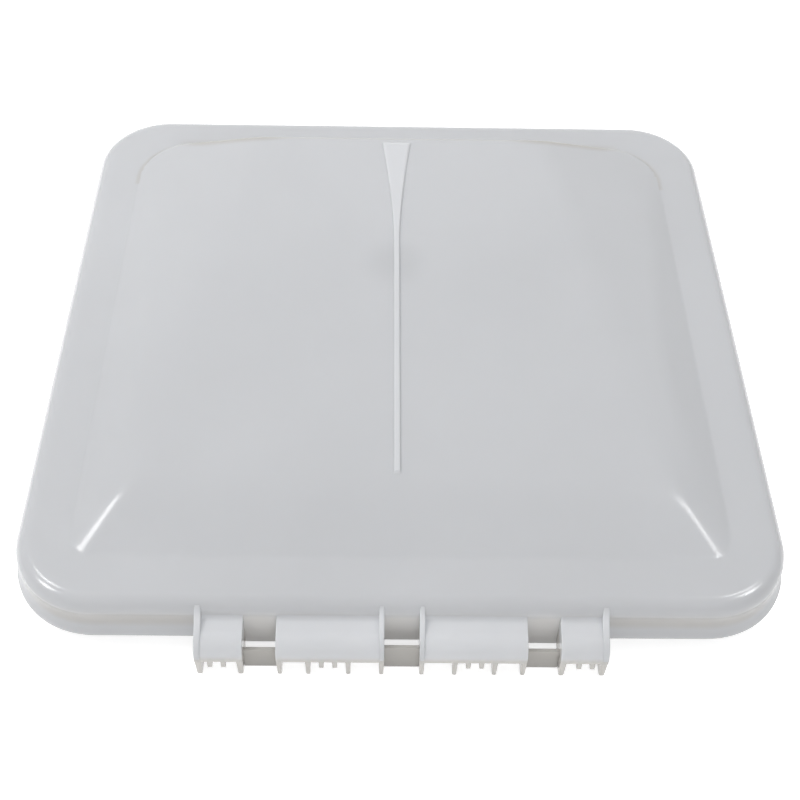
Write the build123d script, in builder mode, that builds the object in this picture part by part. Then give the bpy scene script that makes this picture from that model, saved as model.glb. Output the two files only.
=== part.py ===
from build123d import *
from math import atan, cos, pi, sin, sqrt, tan
import os

# Roof vent lid. X runs along the hinge, Y from the hinge side to the opening side, Z up.
# The origin is the middle of the roof opening, in the plane of the skirt's lower edge.

# Rim and skirt
rim_width = 381.0
rim_depth = 371.0
rim_corner = 42.0
rim_rounding = 8.0
flange_height = 24.0
wall = 2.2
lip_out = 2.4
lip_edge = 1.2
cove_in = 0.4
cove_middle = 8.0

# Dome: a panel that rises to the back, with a facet and a steeper wall on each side
dome_half_width = 163.5
dome_front = 157.0
dome_back = 155.0
dome_back_corner = 28.0
dome_foot = 1.1
back_wall_draft = 31.0
side_wall_slope = 0.45
side_wall_run = 20.5
side_wall_least = 2.0
side_wall_middle = -30.0
side_wall_front_end = -153.0
side_wall_front_curve = 2.2
side_wall_back_end = 142.0
side_wall_back_curve = 1.7
crest_front = 121.5
crest_height = 9.6
back_height = 19.0
panel_half_front = 137.0
panel_half_back = 89.0
panel_edge_blend = 9.0
wall_edge_blend = 4.5
dome_stations = (-162, -122, -90, -60, -30, 10, 60, 105, 160)

# Spine on the panel, a little beside its middle
spine_middle = -2.5
spine_width = 3.2
spine_height = 1.2
spine_front = -113.0
spine_back = 139.0
spine_flare_width = 17.5
spine_flare_start = 55.0
spine_flare_spread = 0.13

# Hinge: outward distances are from the skirt's lower edge, heights from its plane
hinge_reach = 14.5
hinge_top = 13.8
hinge_shell_fall = 1.2
hinge_shell_wall = 2.0
hinge_shell_bend = 10.0
hinge_shell_end = 0.8
hinge_half_length = 99.0
outer_shell_inner_end = 76.0
inner_shell_outer_end = 60.1
inner_shell_inner_end = 8.4
end_web = 3.2
rib_web = 2.6
web_inset = 0.4
web_drop = 12.6
short_web_drop = 5.7
web_tip_radius = 2.4
web_back = 1.0
rib_rod_gap = 0.5
rib_group_middle = 35.35
rib_group_pitch = 6.45
outer_rib_place = 92.0
gusset_angle = 45.0
gusset_hollow = 1.0
gusset_foot = 4.5
apron_in = 2.6
apron_drop = 8.9
middle_apron_drop = 6.4
strip_wall = 1.8
strip_rod_gap = 0.3
strip_top = 2.8
middle_strip_top = 5.4
strip_hold = 0.3

# Hinge rod and its retaining clips
rod_radius = 2.38
rod_clearance = 0.06
rod_out = 4.4
rod_drop = 8.0
rod_recess = 0.3
rod_chamfer = 0.4
groove_radius = 1.85
groove_width = 0.9
clip_bore = 1.9
clip_radius = 4.4
clip_thickness = 0.8
clip_gap = 0.3
clip_mouth = 3.2
clip_relief = 2.9
clip_prong = 1.6
clip_prong_hold = 0.4

# Lift track under the dome
track_middle = 35.0
track_length = 110.0
track_width = 16.0
track_height = 9.0
track_sheet = 1.2
track_slot = 6.4
track_tab = 16.0
track_seat = 6.0
track_stop = 2.0
track_bend = 2.0
track_tab_radius = 4.0
pad_length = 34.0
pad_wall = 2.0
boss_radius = 4.8
screw_radius = 1.9
screw_length = 5.5
screw_clearance = 0.05
screw_tab_clearance = 0.3
screw_head_radius = 4.0
screw_head_height = 2.4
screw_head_bevel = 0.6
screw_drive_radius = 1.3
screw_drive_depth = 1.4
screw_tip_room = 0.4

# Slide block in the track, with an eye for the lift arm's pin
block_clearance = 0.3
block_length = 18.0
block_rounding = 0.8
block_eye_radius = 5.4
block_eye_drop = 6.6
arm_pin_radius = 2.55

# Values worked out from the sizes above
rim_half_x = rim_width / 2
rim_half_y = rim_depth / 2
lip_y = -(rim_half_y + lip_out)
rim_level = flange_height - rim_rounding
back_top_y = dome_back - back_height * tan(back_wall_draft * pi / 180)
front_slope = crest_height / (dome_front - crest_front)
panel_slope = (back_height - crest_height) / (back_top_y + crest_front)
rod_length = 2 * (hinge_half_length - rod_recess)
clip_x = hinge_half_length - end_web - clip_gap - clip_thickness / 2
hinge_root = -apron_in - wall / 2
bend_out = hinge_reach - hinge_shell_bend
bend_z = hinge_top - hinge_shell_fall - hinge_shell_bend
track_top = flange_height + track_seat
track_bottom = track_top - track_height
tab_screw_y = (track_length + track_tab) / 2
screw_spots = [(0, track_middle - tab_screw_y), (0, track_middle + tab_screw_y)]
eye_z = track_bottom - block_eye_drop
apron_half_length = hinge_half_length - end_web / 2
apron_top = hinge_top - hinge_shell_wall / 2
strip_back = rod_out + rod_radius + strip_rod_gap
dome_reach = 2 * back_height
half_turn = pi / 4


def panel_half(y):
    """Half width of the middle panel at y, narrower to the back."""
    share = (y + crest_front) / (back_top_y + crest_front)
    return panel_half_front + (panel_half_back - panel_half_front) * share


def panel_rise(y):
    """Height of the middle panel above the flange at y."""
    return crest_height + panel_slope * (y + crest_front)


def side_run(y):
    """Width of the side wall at y: a crescent, widest just in front of the middle."""
    if y > side_wall_middle:
        share = (y - side_wall_middle) / (side_wall_back_end - side_wall_middle)
        curve = side_wall_back_curve
    else:
        share = (side_wall_middle - y) / (side_wall_middle - side_wall_front_end)
        curve = side_wall_front_curve
    return max(side_wall_run * (1 - share**curve), side_wall_least)


def dome_section(y, level):
    """Outline across the dome at y, over side wall, facet and panel, above a flange level."""
    run = side_run(y)
    crease_x = dome_half_width - run
    facet_run = crease_x - panel_half(y)
    facet_turn = atan((panel_rise(y) - side_wall_slope * run) / facet_run)
    wall_turn = atan(side_wall_slope) - facet_turn
    panel_radius = min(panel_edge_blend, facet_run / 2) / tan(facet_turn / 2)
    wall_radius = min(wall_edge_blend, run / 2) / tan(wall_turn / 2)
    foot_x = dome_half_width + dome_foot / side_wall_slope
    right = [(foot_x, -dome_foot), (crease_x, side_wall_slope * run), (panel_half(y), panel_rise(y))]
    left = [(-x, z) for x, z in reversed(right)]
    with BuildSketch(Plane((0, y, level), x_dir=(1, 0, 0), z_dir=(0, -1, 0))) as section:
        with BuildLine():
            blends = [wall_radius, panel_radius, panel_radius, wall_radius]
            top = FilletPolyline(*right, *left, radius=blends)
            Line(top @ 1, top @ 0)
        make_face()
    return section.sketch


def dome_block(drop):
    """The dome as a solid; dropped by the wall thickness it is the hollow underneath."""
    level = flange_height - drop
    back = dome_back - drop / 2
    depth = dome_front + back + dome_back_corner
    with BuildPart() as block:
        for y in dome_stations:
            add(dome_section(y, level))
        loft()
        with BuildSketch(Plane.XY.offset(level - dome_foot)):
            with Locations((0, back + dome_foot * tan(back_wall_draft * pi / 180) - depth / 2)):
                RectangleRounded(2 * dome_half_width + dome_foot, depth, dome_back_corner)
        extrude(amount=dome_reach, taper=back_wall_draft, mode=Mode.INTERSECT)
        front = Plane((0, -dome_front, level), x_dir=(1, 0, 0), z_dir=(0, -front_slope, 1))
        split(bisect_by=front, keep=Keep.BOTTOM)
    return block.part


def hinge_plane(x):
    """Plane across the hinge at x: its first axis is outward from the lip, its second up."""
    return Plane((x, lip_y, 0), x_dir=(0, -1, 0), z_dir=(-1, 0, 0))


def cover_section():
    """Curved cover of a hinge stretch: nearly flat from the skirt, then bent down."""
    inner_bend = hinge_shell_bend - hinge_shell_wall
    with BuildSketch() as section:
        with BuildLine():
            fall = Line((hinge_root, hinge_top), (bend_out, bend_z + hinge_shell_bend))
            bend = RadiusArc(fall @ 1, (hinge_reach, bend_z), hinge_shell_bend)
            edge = Polyline(
                bend @ 1,
                (hinge_reach, hinge_shell_end),
                (hinge_reach - hinge_shell_wall, hinge_shell_end),
                (hinge_reach - hinge_shell_wall, bend_z),
            )
            back = RadiusArc(edge @ 1, (bend_out, bend_z + inner_bend), -inner_bend)
            Polyline(back @ 1, (hinge_root, hinge_top - hinge_shell_wall), fall @ 0)
        make_face()
    return section.sketch


def web_section():
    """Web under a hinge cover, from the skirt round the rod to a rounded tip below."""
    bend = hinge_shell_bend - web_inset
    front = hinge_reach - web_inset
    with BuildSketch() as section:
        with BuildLine():
            tip_start = (front, web_tip_radius - web_drop)
            tip = RadiusArc(tip_start, (front - web_tip_radius, -web_drop), web_tip_radius)
            Polyline(
                tip @ 1,
                (web_back, -web_drop),
                (hinge_root, -web_drop / 2),
                (hinge_root, bend_z + bend),
                (bend_out, bend_z + bend),
                (bend_out + bend * cos(half_turn), bend_z + bend * sin(half_turn)),
                (front, bend_z),
                tip @ 0,
            )
        make_face()
    return section.sketch


def rib_section():
    """Short rib inside a hinge cover, in front of the rod."""
    front = hinge_reach - web_inset
    back = rod_out + rod_radius + rib_rod_gap
    rise = hinge_shell_bend - hinge_shell_wall / 2
    with BuildSketch() as section:
        with BuildLine():
            Polyline(
                (back, -short_web_drop),
                (front - web_tip_radius / 2, -short_web_drop),
                (front, web_tip_radius / 2 - short_web_drop),
                (front, bend_z),
                (back, bend_z + sqrt(rise**2 - (back - bend_out) ** 2)),
                (back, -short_web_drop),
            )
        make_face()
    return section.sketch


def gusset_section():
    """Gusset from the rim's rounding down to the hinge cover, hollow on its free edge."""
    turn = gusset_angle * pi / 180
    bend_centre = -lip_out - rim_rounding
    inner = rim_rounding - wall / 2
    with BuildSketch() as section:
        with BuildLine():
            edge = SagittaArc(
                (bend_centre + rim_rounding * cos(turn), rim_level + rim_rounding * sin(turn)),
                (bend_out + gusset_foot, bend_z + sqrt(hinge_shell_bend**2 - gusset_foot**2)),
                gusset_hollow,
            )
            Polyline(
                edge @ 1,
                (bend_out, bend_z + hinge_shell_bend - hinge_shell_wall / 2),
                (hinge_root, hinge_top - hinge_shell_wall),
                (hinge_root, rim_level),
                (bend_centre + inner * cos(turn), rim_level + inner * sin(turn)),
                edge @ 0,
            )
        make_face()
    return section.sketch


dome_outer = dome_block(0)
dome_hollow = dome_block(wall)

# Spine: a low rib that follows the panel and widens before the back edge
with BuildPart() as spine:
    with BuildSketch(Plane((spine_middle, 0, flange_height))):
        with BuildLine():
            half = spine_width / 2
            flare = spine_flare_width / 2
            right = Spline(
                (half, spine_flare_start),
                (flare, spine_back),
                tangents=((0, 1), (spine_flare_spread, 1)),
            )
            left = Spline(
                (-flare, spine_back),
                (-half, spine_flare_start),
                tangents=((spine_flare_spread, -1), (0, -1)),
            )
            Line(right @ 1, left @ 0)
            Polyline(left @ 1, (-half, spine_front), (half, spine_front), right @ 0)
        make_face()
    extrude(amount=dome_reach)
    add(dome_outer.moved(Location((0, 0, spine_height))), mode=Mode.INTERSECT)

# Bosses for the track's screws and a pad frame between them, up to the dome's outside
with BuildPart() as track_seats:
    with BuildSketch(Plane.XY.offset(track_top)):
        with Locations(*screw_spots):
            Circle(boss_radius)
        with Locations((0, track_middle)):
            Rectangle(track_width, pad_length)
            Rectangle(track_width - 2 * pad_wall, pad_length - 2 * pad_wall, mode=Mode.SUBTRACT)
    extrude(amount=dome_reach)
    add(dome_outer, mode=Mode.INTERSECT)

# Webs and ribs on one half of the hinge: in each cover two ribs stand between two webs
end_web_x = hinge_half_length - end_web / 2
webs = [
    (inner_shell_inner_end + rib_web / 2, rib_web),
    (rib_group_middle - 1.5 * rib_group_pitch, rib_web),
    (rib_group_middle + 1.5 * rib_group_pitch, rib_web),
    (inner_shell_outer_end - rib_web / 2, rib_web),
    (outer_shell_inner_end + end_web / 2, end_web),
    (end_web_x, end_web),
]
ribs = [
    rib_group_middle - 0.5 * rib_group_pitch,
    rib_group_middle + 0.5 * rib_group_pitch,
    outer_rib_place - rib_group_pitch,
    outer_rib_place,
]
gussets = [(inner_shell_inner_end + rib_web / 2, rib_web), (end_web_x, end_web)]

# Lid: rim and skirt, flange plate, dome, hinge and track bosses, moulded in one piece
with BuildPart() as lid:
    with BuildLine() as rim_path:
        FilletPolyline(
            (0, -rim_half_y),
            (rim_half_x, -rim_half_y),
            (rim_half_x, rim_half_y),
            (0, rim_half_y),
            radius=rim_corner,
        )
    with BuildSketch(Plane((0, -rim_half_y, 0), x_dir=(0, -1, 0), z_dir=(-1, 0, 0))):
        with BuildLine():
            cove = ThreePointArc((lip_out, lip_edge), (-cove_in, cove_middle), (0, rim_level))
            bend = RadiusArc(cove @ 1, (-rim_rounding, flange_height), -rim_rounding)
            inner_bend = rim_rounding - wall
            Polyline(
                bend @ 1,
                (-rim_rounding - wall, flange_height),
                (-rim_rounding - wall, flange_height - wall),
                (-rim_rounding, flange_height - wall),
                (inner_bend * cos(half_turn) - rim_rounding, inner_bend * sin(half_turn) + rim_level),
                (-wall, rim_level),
                (-cove_in - wall, cove_middle),
                (lip_out - wall, 0),
                (lip_out, 0),
                cove @ 0,
            )
        make_face()
    sweep(path=rim_path.wire())
    mirror(about=Plane.YZ)
    with BuildSketch(Plane.XY.offset(flange_height - wall)):
        RectangleRounded(
            rim_width - 2 * rim_rounding, rim_depth - 2 * rim_rounding, rim_corner - rim_rounding
        )
    extrude(amount=wall)
    add(dome_outer)
    add(spine.part)
    add(dome_hollow, mode=Mode.SUBTRACT)
    # The lip gives way to a plain apron behind the hinge, shorter in its middle
    with BuildSketch(hinge_plane(0)):
        with Locations((-apron_in, -apron_in)):
            Rectangle(2 * apron_in, apron_in + apron_top, align=Align.MIN)
    extrude(amount=apron_half_length, both=True, mode=Mode.SUBTRACT)
    with BuildSketch(hinge_plane(0)):
        with Locations((-apron_in - wall, -middle_apron_drop)):
            Rectangle(wall, middle_apron_drop + apron_top, align=Align.MIN)
    extrude(amount=apron_half_length, both=True)
    for side in (-1, 1):
        with BuildSketch(hinge_plane(side * (apron_half_length + inner_shell_inner_end) / 2)):
            with Locations((-apron_in - wall, -apron_drop)):
                Rectangle(wall, apron_drop, align=Align.MIN)
        extrude(amount=(apron_half_length - inner_shell_inner_end) / 2, both=True)
        # Hinge covers with their webs, ribs and gussets
        for start, end in (
            (inner_shell_inner_end, inner_shell_outer_end),
            (outer_shell_inner_end, hinge_half_length),
        ):
            with BuildSketch(hinge_plane(side * (start + end) / 2)):
                add(cover_section())
            extrude(amount=(end - start) / 2, both=True)
        for x, width in webs:
            with BuildSketch(hinge_plane(side * x)):
                add(web_section())
            extrude(amount=width / 2, both=True)
        for x in ribs:
            with BuildSketch(hinge_plane(side * x)):
                add(rib_section())
            extrude(amount=rib_web / 2, both=True)
        for x, width in gussets:
            with BuildSketch(hinge_plane(side * x)):
                add(gusset_section())
            extrude(amount=width / 2, both=True)
        # Strip in front of the rod across the outer gap
        strip_start = inner_shell_outer_end - strip_hold
        strip_end = outer_shell_inner_end + strip_hold
        with BuildSketch(hinge_plane(side * (strip_start + strip_end) / 2)):
            with Locations((strip_back, -web_drop)):
                Rectangle(strip_wall, web_drop + strip_top, align=Align.MIN)
        extrude(amount=(strip_end - strip_start) / 2, both=True)
    with BuildSketch(hinge_plane(0)):
        with Locations((strip_back, -web_drop)):
            Rectangle(strip_wall, web_drop + middle_strip_top, align=Align.MIN)
    extrude(amount=inner_shell_inner_end + strip_hold, both=True)
    with BuildSketch(hinge_plane(0)):
        with Locations((rod_out, -rod_drop)):
            Circle(rod_radius + rod_clearance)
    extrude(amount=hinge_half_length, both=True, mode=Mode.SUBTRACT)
    # Bosses and pad frame that carry the lift track
    add(track_seats.part)
    with BuildSketch(Plane.XY.offset(track_top)):
        with Locations(*screw_spots):
            Circle(screw_radius + screw_clearance)
    extrude(amount=screw_length - track_sheet + screw_tip_room, mode=Mode.SUBTRACT)

# Hinge rod: a plain steel rod with a groove near each end
with BuildPart() as hinge_rod:
    with BuildSketch(hinge_plane(0)):
        with Locations((rod_out, -rod_drop)):
            Circle(rod_radius)
    extrude(amount=rod_length / 2, both=True)
    chamfer(hinge_rod.edges().filter_by(GeomType.CIRCLE), rod_chamfer)
    for side in (-1, 1):
        with BuildSketch(hinge_plane(side * clip_x)):
            with Locations((rod_out, -rod_drop)):
                Circle(rod_radius + rod_clearance)
                Circle(groove_radius, mode=Mode.SUBTRACT)
        extrude(amount=groove_width / 2, both=True, mode=Mode.SUBTRACT)

# Retaining clips: thin rings, open below, that grip the groove with three prongs
with BuildSketch() as clip_outline:
    Circle(clip_radius)
    Circle(clip_relief, mode=Mode.SUBTRACT)
    prong_length = clip_relief + clip_prong_hold - clip_bore
    with PolarLocations(clip_bore + prong_length / 2, 3, start_angle=0, angular_range=270):
        Rectangle(prong_length, clip_prong)
    Circle(clip_bore, mode=Mode.SUBTRACT)
    with Locations((0, -clip_radius)):
        Rectangle(clip_mouth, 2 * clip_radius, mode=Mode.SUBTRACT)

with BuildPart() as rod_clip_left:
    with BuildSketch(hinge_plane(-clip_x)):
        with Locations((rod_out, -rod_drop)):
            add(clip_outline.sketch)
    extrude(amount=clip_thickness / 2, both=True)

with BuildPart() as rod_clip_right:
    with BuildSketch(hinge_plane(clip_x)):
        with Locations((rod_out, -rod_drop)):
            add(clip_outline.sketch)
    extrude(amount=clip_thickness / 2, both=True)

# Lift track: a channel folded from sheet, open below, with a screw tab at each end
with BuildPart() as arm_track:
    across = Plane((0, track_middle, track_top - track_height / 2), x_dir=(1, 0, 0), z_dir=(0, -1, 0))
    with BuildSketch(across):
        RectangleRounded(track_width, track_height, track_bend)
        RectangleRounded(
            track_width - 2 * track_sheet,
            track_height - 2 * track_sheet,
            track_bend - track_sheet,
            mode=Mode.SUBTRACT,
        )
        with Locations((0, -track_height / 2)):
            Rectangle(track_slot, track_height, mode=Mode.SUBTRACT)
    extrude(amount=track_length / 2, both=True)
    with BuildSketch(Plane.XY.offset(track_top)):
        with Locations((0, track_middle)):
            tabs_length = track_length + 2 * track_tab
            RectangleRounded(track_width - 2 * track_bend, tabs_length, track_tab_radius)
        with Locations(*screw_spots):
            Circle(screw_radius + screw_tab_clearance, mode=Mode.SUBTRACT)
    extrude(amount=-track_sheet)
    # The lips' ends are turned up, which stops the block
    lip_width = (track_width - track_slot) / 2 - track_sheet
    stop_y = (track_length - track_sheet) / 2
    with BuildSketch(Plane.XY.offset(track_bottom + track_sheet / 2)):
        with Locations((0, track_middle)):
            with GridLocations(track_slot + lip_width, 2 * stop_y, 2, 2):
                Rectangle(lip_width, track_sheet)
    extrude(amount=track_sheet / 2 + track_stop)

# Screws that hold the track's tabs to the bosses, driven from below
with BuildPart() as track_screws:
    with BuildSketch(Plane.XY.offset(track_top - track_sheet)):
        with Locations(*screw_spots):
            Circle(screw_head_radius)
    extrude(amount=-screw_head_height)
    chamfer(track_screws.faces().sort_by(Axis.Z)[:2].edges(), screw_head_bevel)
    with BuildSketch(Plane.XY.offset(track_top - track_sheet)):
        with Locations(*screw_spots):
            Circle(screw_radius)
    extrude(amount=screw_length)
    with BuildSketch(Plane.XY.offset(track_top - track_sheet - screw_head_height)):
        with Locations(*screw_spots):
            RegularPolygon(screw_drive_radius, 6)
    extrude(amount=screw_drive_depth, mode=Mode.SUBTRACT)

# Slide block: a head inside the track, and a neck through its slot with the arm's eye
with BuildPart() as slide_block:
    head_bottom = track_bottom + track_sheet + block_clearance
    head_height = track_height - 2 * track_sheet - 2 * block_clearance
    with BuildSketch(Plane.XY.offset(head_bottom)):
        with Locations((0, track_middle)):
            Rectangle(track_width - 2 * track_sheet - 2 * block_clearance, block_length)
    extrude(amount=head_height)
    fillet(slide_block.edges().filter_by(Axis.Z), block_rounding)
    with BuildSketch(Plane((0, track_middle, eye_z), x_dir=(0, 1, 0), z_dir=(1, 0, 0))):
        Circle(block_eye_radius)
        neck_height = head_bottom + head_height / 2 - eye_z
        Rectangle(2 * block_eye_radius, neck_height, align=(Align.CENTER, Align.MIN))
        Circle(arm_pin_radius, mode=Mode.SUBTRACT)
    extrude(amount=track_slot / 2 - block_clearance, both=True)

pieces = {
    "lid": lid,
    "hinge_rod": hinge_rod,
    "rod_clip_left": rod_clip_left,
    "rod_clip_right": rod_clip_right,
    "arm_track": arm_track,
    "track_screws": track_screws,
    "slide_block": slide_block,
}
os.makedirs("parts", exist_ok=True)
for name, piece in pieces.items():
    piece.part.label = name
    export_step(piece.part, f"parts/{name}.step")
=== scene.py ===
import bpy
import numpy as np
from mathutils import Matrix


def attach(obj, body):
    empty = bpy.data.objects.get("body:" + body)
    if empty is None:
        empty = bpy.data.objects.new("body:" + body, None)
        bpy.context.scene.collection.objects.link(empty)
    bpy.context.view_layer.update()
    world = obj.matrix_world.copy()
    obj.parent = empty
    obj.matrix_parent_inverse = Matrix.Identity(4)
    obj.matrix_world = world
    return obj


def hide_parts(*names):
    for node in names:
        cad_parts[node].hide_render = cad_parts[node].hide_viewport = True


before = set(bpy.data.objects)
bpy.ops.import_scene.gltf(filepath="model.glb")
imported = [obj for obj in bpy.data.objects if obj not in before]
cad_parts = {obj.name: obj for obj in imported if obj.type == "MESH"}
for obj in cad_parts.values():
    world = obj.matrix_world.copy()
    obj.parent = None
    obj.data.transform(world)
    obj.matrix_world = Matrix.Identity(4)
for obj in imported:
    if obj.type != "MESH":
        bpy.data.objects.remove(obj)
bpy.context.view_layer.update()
mm = 0.001
hingeBase = -187.9  # y of the skirt's lower edge on the hinge side, in mm
print("stage: frame loaded")


# Helpers
def makePiece(name, points, faces, material, body, bevel=0, smoothAngle=40):
    # points in mm, faces as index lists; the finished piece rides on its body
    mesh = bpy.data.meshes.new(name)
    mesh.from_pydata((np.asarray(points) * mm).tolist(), [], [list(map(int, f)) for f in faces])
    mesh.validate()
    mesh.polygons.foreach_set("use_smooth", np.ones(len(mesh.polygons), bool))
    mesh.update()
    piece = bpy.data.objects.new(name, mesh)
    bpy.context.scene.collection.objects.link(piece)
    if bevel:
        edge = piece.modifiers.new("edges", "BEVEL")
        edge.width = bevel * mm
        edge.segments = 2
        edge.limit_method = "ANGLE"
        edge.angle_limit = np.radians(35)
        edge.harden_normals = False
    mesh.materials.append(material)
    mesh.set_sharp_from_angle(angle=np.radians(smoothAngle))
    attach(piece, body)
    return piece


def quadFaces(index, closeRows=False, closeColumns=False):
    # quads between neighbours of a 2-D array of vertex numbers
    a = np.vstack([index, index[:1]]) if closeRows else index
    a = np.hstack([a, a[:, :1]]) if closeColumns else a
    return np.stack([a[:-1, :-1], a[1:, :-1], a[1:, 1:], a[:-1, 1:]], -1).reshape(-1, 4)


def softMin(a, b, reach):
    # the lower of two heights, rounded where they differ by less than reach
    near = np.clip(1 - np.abs(a - b) / reach, 0, 1)
    return np.minimum(a, b) - near**2 * reach / 4


def softMax(a, b, reach):
    # the higher of two heights, rounded in the same way
    return -softMin(-a, -b, reach)


def smoothStep(t):
    # 0 below 0, 1 above 1 and 3*t^2 - 2*t^3 between
    t = np.clip(t, 0, 1)
    return t * t * (3 - 2 * t)


def falling(value, start, end):
    # 0 where the value is above start, 1 where it is below end, smooth between
    return smoothStep((start - value) / (start - end))


def cornerDistance(x, y, halfX, backY, corner):
    # distance outward from the corner arc's centre, along a base line with rounded back corners
    qx, qy = np.abs(x) - (halfX - corner), y - (backY - corner)
    return np.hypot(np.maximum(qx, 0), np.maximum(qy, 0)) + np.minimum(np.maximum(qx, qy), 0)


# Materials
def newMaterial(name):
    # a material with its nodes, links and shader
    material = bpy.data.materials.new(name)
    material.use_nodes = True
    nodes, links = material.node_tree.nodes, material.node_tree.links
    return material, nodes, links, nodes["Principled BSDF"]


def mapped(nodes, links, value, fromRange=(0, 1), toRange=(0, 1), smooth=False):
    # the value carried from one range to another and held at its ends
    step = nodes.new("ShaderNodeMapRange")
    if smooth:
        step.interpolation_type = "SMOOTHSTEP"
    step.inputs["From Min"].default_value, step.inputs["From Max"].default_value = fromRange
    step.inputs["To Min"].default_value, step.inputs["To Max"].default_value = toRange
    links.new(value, step.inputs["Value"])
    return step.outputs["Result"]


def scaled(nodes, links, colour, factor):
    # the colour times a factor
    step = nodes.new("ShaderNodeVectorMath")
    step.operation = "SCALE"
    links.new(colour, step.inputs[0])
    links.new(factor, step.inputs["Scale"])
    return step.outputs["Vector"]


def noise(nodes, links, place, scale, detail):
    # even noise in object coordinates
    step = nodes.new("ShaderNodeTexNoise")
    step.inputs["Scale"].default_value = scale
    step.inputs["Detail"].default_value = detail
    links.new(place, step.inputs["Vector"])
    return step.outputs["Fac"]


def twoTone(nodes, links, value, low, high, spread=(0, 1)):
    # a ramp from the low colour to the high one
    step = nodes.new("ShaderNodeValToRGB")
    for element, position, colour in zip(step.color_ramp.elements, spread, (low, high)):
        element.position = position
        element.color = (*colour, 1)
    links.new(value, step.inputs["Fac"])
    return step.outputs["Color"]


def addBump(nodes, links, shader, height, distance, strength):
    # a fine relief on the shader's normal
    step = nodes.new("ShaderNodeBump")
    step.inputs["Distance"].default_value = distance
    step.inputs["Strength"].default_value = strength
    links.new(height, step.inputs["Height"])
    links.new(step.outputs["Normal"], shader.inputs["Normal"])


def attribute(nodes, name):
    # a point attribute of the piece, 0 where the piece has none
    given = nodes.new("ShaderNodeAttribute")
    given.attribute_name = name
    return given.outputs["Fac"]


plasticLook = {
    "colour": (0.585, 0.595, 0.615),
    "cloud": 0.015,
    "cloudPerMetre": 9,
    # the deep colour: painted shade for creases, recesses and low edges
    "deep": (0.50, 0.485, 0.46),
    "roughness": 0.17,
    "roughnessSpread": 0.04,
    "grainPerMetre": 1400,
    "grainDepth": 0.00001,
    "ior": 1.49,
    "glow": 0.45,
    "glowRadius": 0.006,
    "glowTint": (1.0, 0.95, 0.9),
    # painted light: a colour gain and an emission glow where a point attribute marks them
    "lift": 1.36,
    "through": 0.13,
}


def mouldedPlastic(name, look, lighten=1.0, shade=None, patch=None, paintedShade=False):
    # a faint cloud in colour and gloss over a fine grain; lighten scales all colours, and above or
    # below 1 it makes lighter or darker copies of the plastic, painted light or shade;
    # shade = (top, bottom) heights in metres between which the colour turns to the deep one, a
    # painted shade; with the attribute flag set, that painted shade comes from a point attribute
    # instead, and a second point attribute gives a lighter colour and a faint emission glow,
    # painted light; patch = place, inner and outer radius and depth of a painted shadow of what
    # lies below
    material, nodes, links, shader = newMaterial(name)
    place = nodes.new("ShaderNodeTexCoord").outputs["Object"]
    cloud = noise(nodes, links, place, look["cloudPerMetre"], 2)
    low, high = ([c * lighten * (1 + way * look["cloud"]) for c in look["colour"]] for way in (-1, 1))
    skinColour = twoTone(nodes, links, cloud, low, high, (0.35, 0.65))
    if patch:
        reach = nodes.new("ShaderNodeVectorMath")
        reach.operation = "DISTANCE"
        reach.inputs[1].default_value = patch["place"]
        links.new(place, reach.inputs[0])
        dim = mapped(nodes, links, reach.outputs["Value"], (patch["inner"], patch["outer"]),
                     (1 - patch["depth"], 1), smooth=True)
        skinColour = scaled(nodes, links, skinColour, dim)
    if shade or paintedShade:
        if paintedShade:
            share = attribute(nodes, "paintedShade")
        else:
            split = nodes.new("ShaderNodeSeparateXYZ")
            links.new(place, split.inputs["Vector"])
            share = mapped(nodes, links, split.outputs["Z"], shade, smooth=True)
        blend = nodes.new("ShaderNodeMix")
        blend.data_type = "RGBA"
        blend.inputs["B"].default_value = (*[c * lighten for c in look["deep"]], 1)
        links.new(share, blend.inputs["Factor"])
        links.new(skinColour, blend.inputs["A"])
        skinColour = blend.outputs["Result"]
    if paintedShade:
        paintedLight = attribute(nodes, "paintedLight")
        lift = mapped(nodes, links, paintedLight, toRange=(1, look["lift"]))
        skinColour = scaled(nodes, links, skinColour, lift)
        through = mapped(nodes, links, paintedLight, toRange=(0, look["through"]))
        links.new(skinColour, shader.inputs["Emission Color"])
        links.new(through, shader.inputs["Emission Strength"])
    links.new(skinColour, shader.inputs["Base Color"])
    rough = look["roughness"] - look["roughnessSpread"], look["roughness"] + look["roughnessSpread"]
    links.new(mapped(nodes, links, cloud, toRange=rough), shader.inputs["Roughness"])
    grain = noise(nodes, links, place, look["grainPerMetre"], 3)
    addBump(nodes, links, shader, grain, look["grainDepth"], 0.5)
    shader.inputs["IOR"].default_value = look["ior"]
    shader.inputs["Subsurface Weight"].default_value = look["glow"]
    shader.inputs["Subsurface Scale"].default_value = look["glowRadius"]
    shader.inputs["Subsurface Radius"].default_value = look["glowTint"]
    return material


metalLook = {
    "rod": {"colour": (0.52, 0.52, 0.53), "roughness": 0.28, "stretch": (4, 900, 900)},
    "clip": {"colour": (0.12, 0.12, 0.13), "roughness": 0.35, "stretch": (300, 300, 300)},
    "track": {"colour": (0.60, 0.61, 0.62), "roughness": 0.38, "stretch": (900, 8, 900)},
    "screw": {"colour": (0.56, 0.57, 0.58), "roughness": 0.25, "stretch": (400, 400, 60)},
}


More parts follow.
